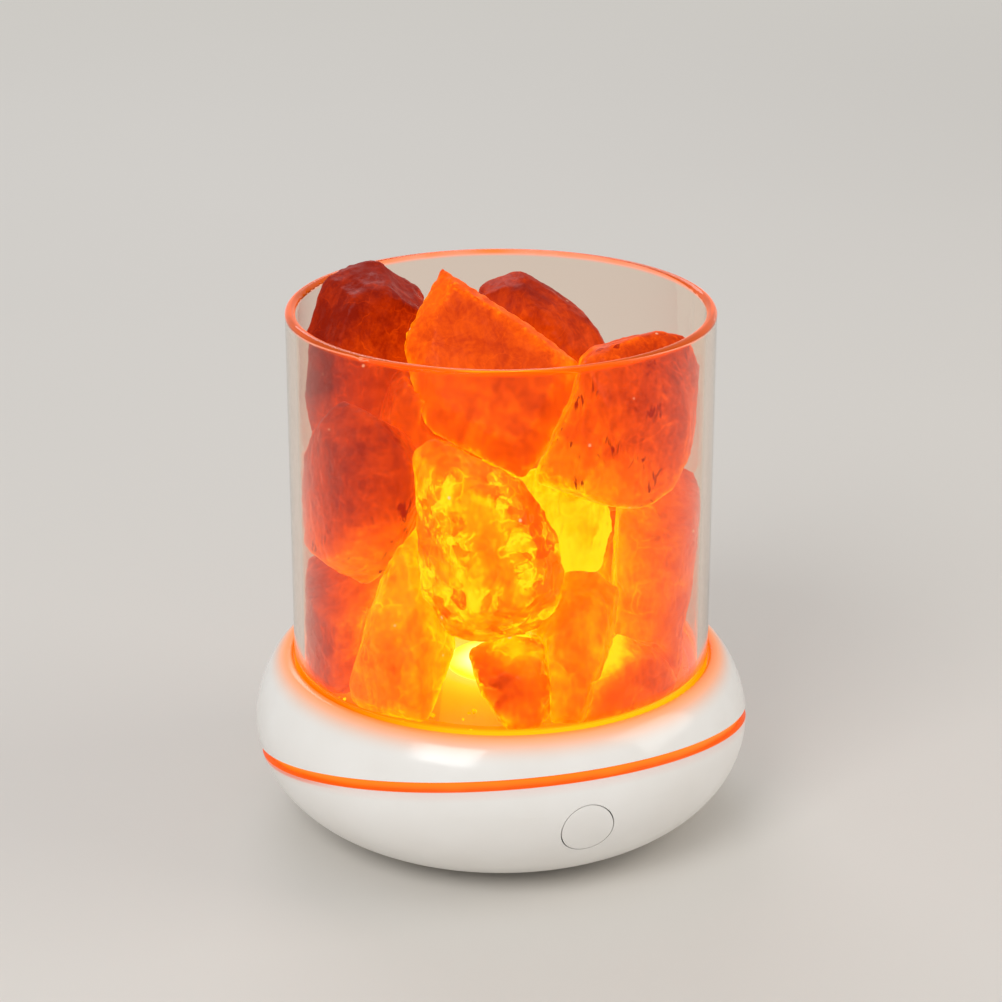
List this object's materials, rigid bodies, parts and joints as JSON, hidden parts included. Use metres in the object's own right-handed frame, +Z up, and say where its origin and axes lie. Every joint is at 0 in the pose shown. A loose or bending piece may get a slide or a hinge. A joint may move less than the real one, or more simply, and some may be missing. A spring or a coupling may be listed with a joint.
{
  "type": "salt crystal lamp",
  "caption": "Bedside lamp: pebble-shaped white base with a slanted strip of light and a push button, under a straight glass cup filled with lit lumps of rock salt.",
  "frame": {"origin": "centre of the base's underside, on the surface that the lamp stands on", "axes": "+Z up along the axis of the cup, -Y towards the push button, +Y towards the charging socket"},
  "size_m": [0.11, 0.11, 0.1239],
  "materials": {
    "gloss_white_abs": "moulded, polished",
    "satin_white_abs": "moulded, satin",
    "ring_diffuser": "milky, lit from behind",
    "window_diffuser": "milky, lit from behind",
    "clear_glass": "clear, fire-polished rim",
    "rock_salt": "translucent, broken and partly polished",
    "clear_silicone": "matt",
    "grey_rubber": "matt",
    "grey_foam": "open foam",
    "reflector_white": "moulded",
    "white_circuit_board": "white solder mask",
    "green_circuit_board": "green solder mask",
    "diode_phosphor": "silicone over phosphor",
    "zinc_plated_steel": "zinc plated",
    "stainless_shell": "pressed",
    "black_nylon": "moulded",
    "red_nylon": "moulded",
    "black_epoxy": "moulded",
    "ceramic": "fired",
    "white_nylon": "moulded",
    "battery_sleeve": "shrink film",
    "wire_insulation": "extruded"
  },
  "bodies": {
    "base": {"base_pad": "grey_rubber", "battery_cell": "battery_sleeve", "battery_leads": "wire_insulation", "battery_pad": "grey_foam", "battery_socket": "white_nylon", "board_capacitors": "ceramic", "charging_socket_shell": "stainless_shell", "charging_socket_tongue": "black_nylon", "control_chip": "black_epoxy", "cup_gasket": "clear_silicone", "housing_screws": "zinc_plated_steel", "lamp_board": "white_circuit_board", "lamp_board_screws": "zinc_plated_steel", "lamp_diodes": "diode_phosphor", "lamp_leads": "wire_insulation", "light_ring": "ring_diffuser", "light_window": "window_diffuser", "lower_housing": "satin_white_abs", "main_board": "green_circuit_board", "main_board_screws": "zinc_plated_steel", "power_inductor": "black_epoxy", "reflector": "reflector_white", "ring_board": "white_circuit_board", "ring_diodes": "diode_phosphor", "ring_leads": "wire_insulation", "switch_board": "green_circuit_board", "switch_board_screws": "zinc_plated_steel", "switch_body": "black_nylon", "switch_leads": "wire_insulation", "upper_housing": "gloss_white_abs"},
    "cup": {"glass_cup": "clear_glass", "salt_back_high": "rock_salt", "salt_back_left": "rock_salt", "salt_back_left_low": "rock_salt", "salt_back_low": "rock_salt", "salt_back_middle": "rock_salt", "salt_back_right_low": "rock_salt", "salt_core": "rock_salt", "salt_front_low": "rock_salt", "salt_front_middle": "rock_salt", "salt_front_right": "rock_salt", "salt_left_back": "rock_salt", "salt_left_front": "rock_salt", "salt_left_low": "rock_salt", "salt_left_middle": "rock_salt", "salt_left_slab": "rock_salt", "salt_middle_hot": "rock_salt", "salt_right_back": "rock_salt", "salt_right_low": "rock_salt", "salt_right_tall": "rock_salt", "salt_right_top": "rock_salt", "salt_top_wedge": "rock_salt"},
    "button": {"button_cap": "satin_white_abs"},
    "plunger": {"switch_plunger": "red_nylon"}
  },
  "joints": [
    {"name": "button_press", "type": "slide", "parent": "base", "child": "button", "axis": [0, 0.9749, 0.2229], "range_m": [0, 0.0005], "stiffness_N_per_m": 2000, "springref_m": -0.0002},
    {"name": "plunger_press", "type": "slide", "parent": "base", "child": "plunger", "axis": [0, 0.9749, 0.2229], "range_m": [0, 0.0005]},
    {"name": "cup_lift", "type": "slide", "parent": "base", "child": "cup", "axis": [0, 0, 1], "range_m": [0, 0.06]}
  ],
  "couplings": [
    {"joint": "plunger_press", "follows": "button_press", "ratio": 1}
  ]
}
